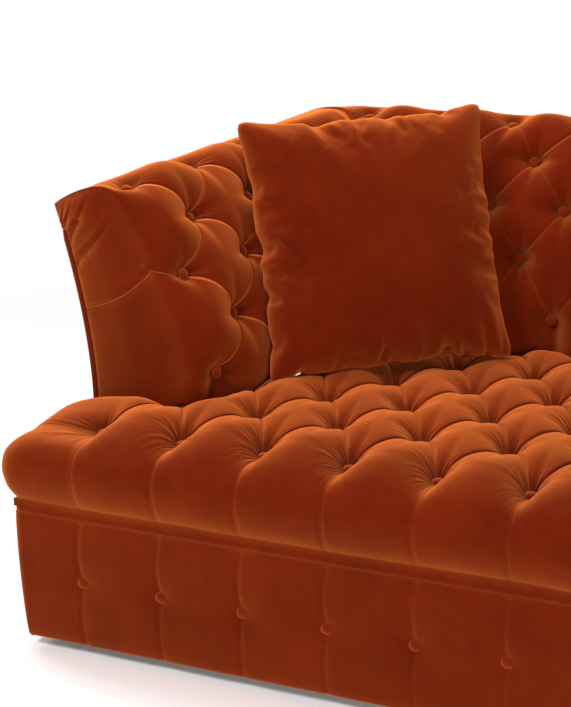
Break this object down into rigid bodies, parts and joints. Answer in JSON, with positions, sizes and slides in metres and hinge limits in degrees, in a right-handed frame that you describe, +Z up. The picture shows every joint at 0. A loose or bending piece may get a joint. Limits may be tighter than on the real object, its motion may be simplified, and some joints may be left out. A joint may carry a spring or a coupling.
{
  "type": "sofa",
  "caption": "deep-buttoned velvet sofa with splayed rolled arms, a low padded base and one loose zipped scatter cushion",
  "frame": {"origin": "middle of the footprint on the floor", "axes": "+X along the seat to the sitter's left, -Y toward the front of the seat, +Z up"},
  "size_m": [2.182, 1.0579, 0.9467],
  "materials": {
    "tufted_velvet": "soft cut velvet over deep-buttoned padding, burnt orange, pale at grazing angles",
    "padded_velvet": "cut velvet over flat padding, burnt orange, dark where it faces the eye",
    "cushion_velvet": "cut velvet over a soft filling, a little creased",
    "velvet_piping": "self-covered piping cord",
    "timber": "planed softwood, unfinished",
    "plywood": "birch plywood, unfinished",
    "stained_wood": "dark stained hardwood, satin",
    "webbing": "woven jute webbing",
    "under_cloth": "thin black non-woven cloth",
    "zip_tape": "woven zip tape with its coil",
    "zip_metal": "bright nickel plate"
  },
  "bodies": {
    "sofa": {"front_rail": "timber", "rear_rail": "timber", "left_front_rail": "timber", "right_front_rail": "timber", "left_side_rail": "timber", "right_side_rail": "timber", "left_cross_rail": "timber", "centre_cross_rail": "timber", "right_cross_rail": "timber", "left_front_block": "timber", "right_front_block": "timber", "left_rear_block": "timber", "right_rear_block": "timber", "left_front_foot": "stained_wood", "right_front_foot": "stained_wood", "left_rear_foot": "stained_wood", "right_rear_foot": "stained_wood", "centre_front_foot": "stained_wood", "centre_rear_foot": "stained_wood", "dust_cover": "under_cloth", "webbing_strap_1": "webbing", "webbing_strap_2": "webbing", "webbing_strap_3": "webbing", "webbing_strap_4": "webbing", "webbing_strap_5": "webbing", "webbing_strap_6": "webbing", "rear_border": "padded_velvet", "left_border": "padded_velvet", "right_border": "padded_velvet", "front_border": "padded_velvet", "front_piping": "velvet_piping", "rear_piping": "velvet_piping", "left_piping": "velvet_piping", "right_piping": "velvet_piping", "left_arm_pad": "tufted_velvet", "right_arm_pad": "tufted_velvet", "left_outside_arm": "padded_velvet", "right_outside_arm": "padded_velvet", "left_arm_top_rail": "timber", "right_arm_top_rail": "timber", "left_arm_front_rib": "plywood", "right_arm_front_rib": "plywood", "left_arm_middle_rib": "plywood", "right_arm_middle_rib": "plywood", "left_arm_rear_rib": "plywood", "right_arm_rear_rib": "plywood", "back_pad": "tufted_velvet", "outside_back": "padded_velvet", "back_top_rail": "timber", "back_rib_1": "plywood", "back_rib_2": "plywood", "back_rib_3": "plywood", "back_rib_4": "plywood", "seat_mattress": "tufted_velvet"},
    "cushion": {"scatter_cushion": "cushion_velvet", "zip_tape": "zip_tape"},
    "slider": {"zip_slider": "zip_metal"},
    "pull": {"zip_pull": "zip_metal"}
  },
  "joints": [
    {"name": "cushion_lift", "type": "slide", "parent": "sofa", "child": "cushion", "axis": [0, 0, 1], "range_m": [0, 0.6]},
    {"name": "zip_slide", "type": "slide", "parent": "cushion", "child": "slider", "axis": [0.7873, 0.6151, 0.0436], "range_m": [0, 0.38]},
    {"name": "zip_swing", "type": "hinge", "parent": "slider", "child": "pull", "pos_m": [-0.64057, -0.07225, 0.46384], "axis": [-0.5824, 0.7649, -0.2751], "range_deg": [0, 17]}
  ]
}
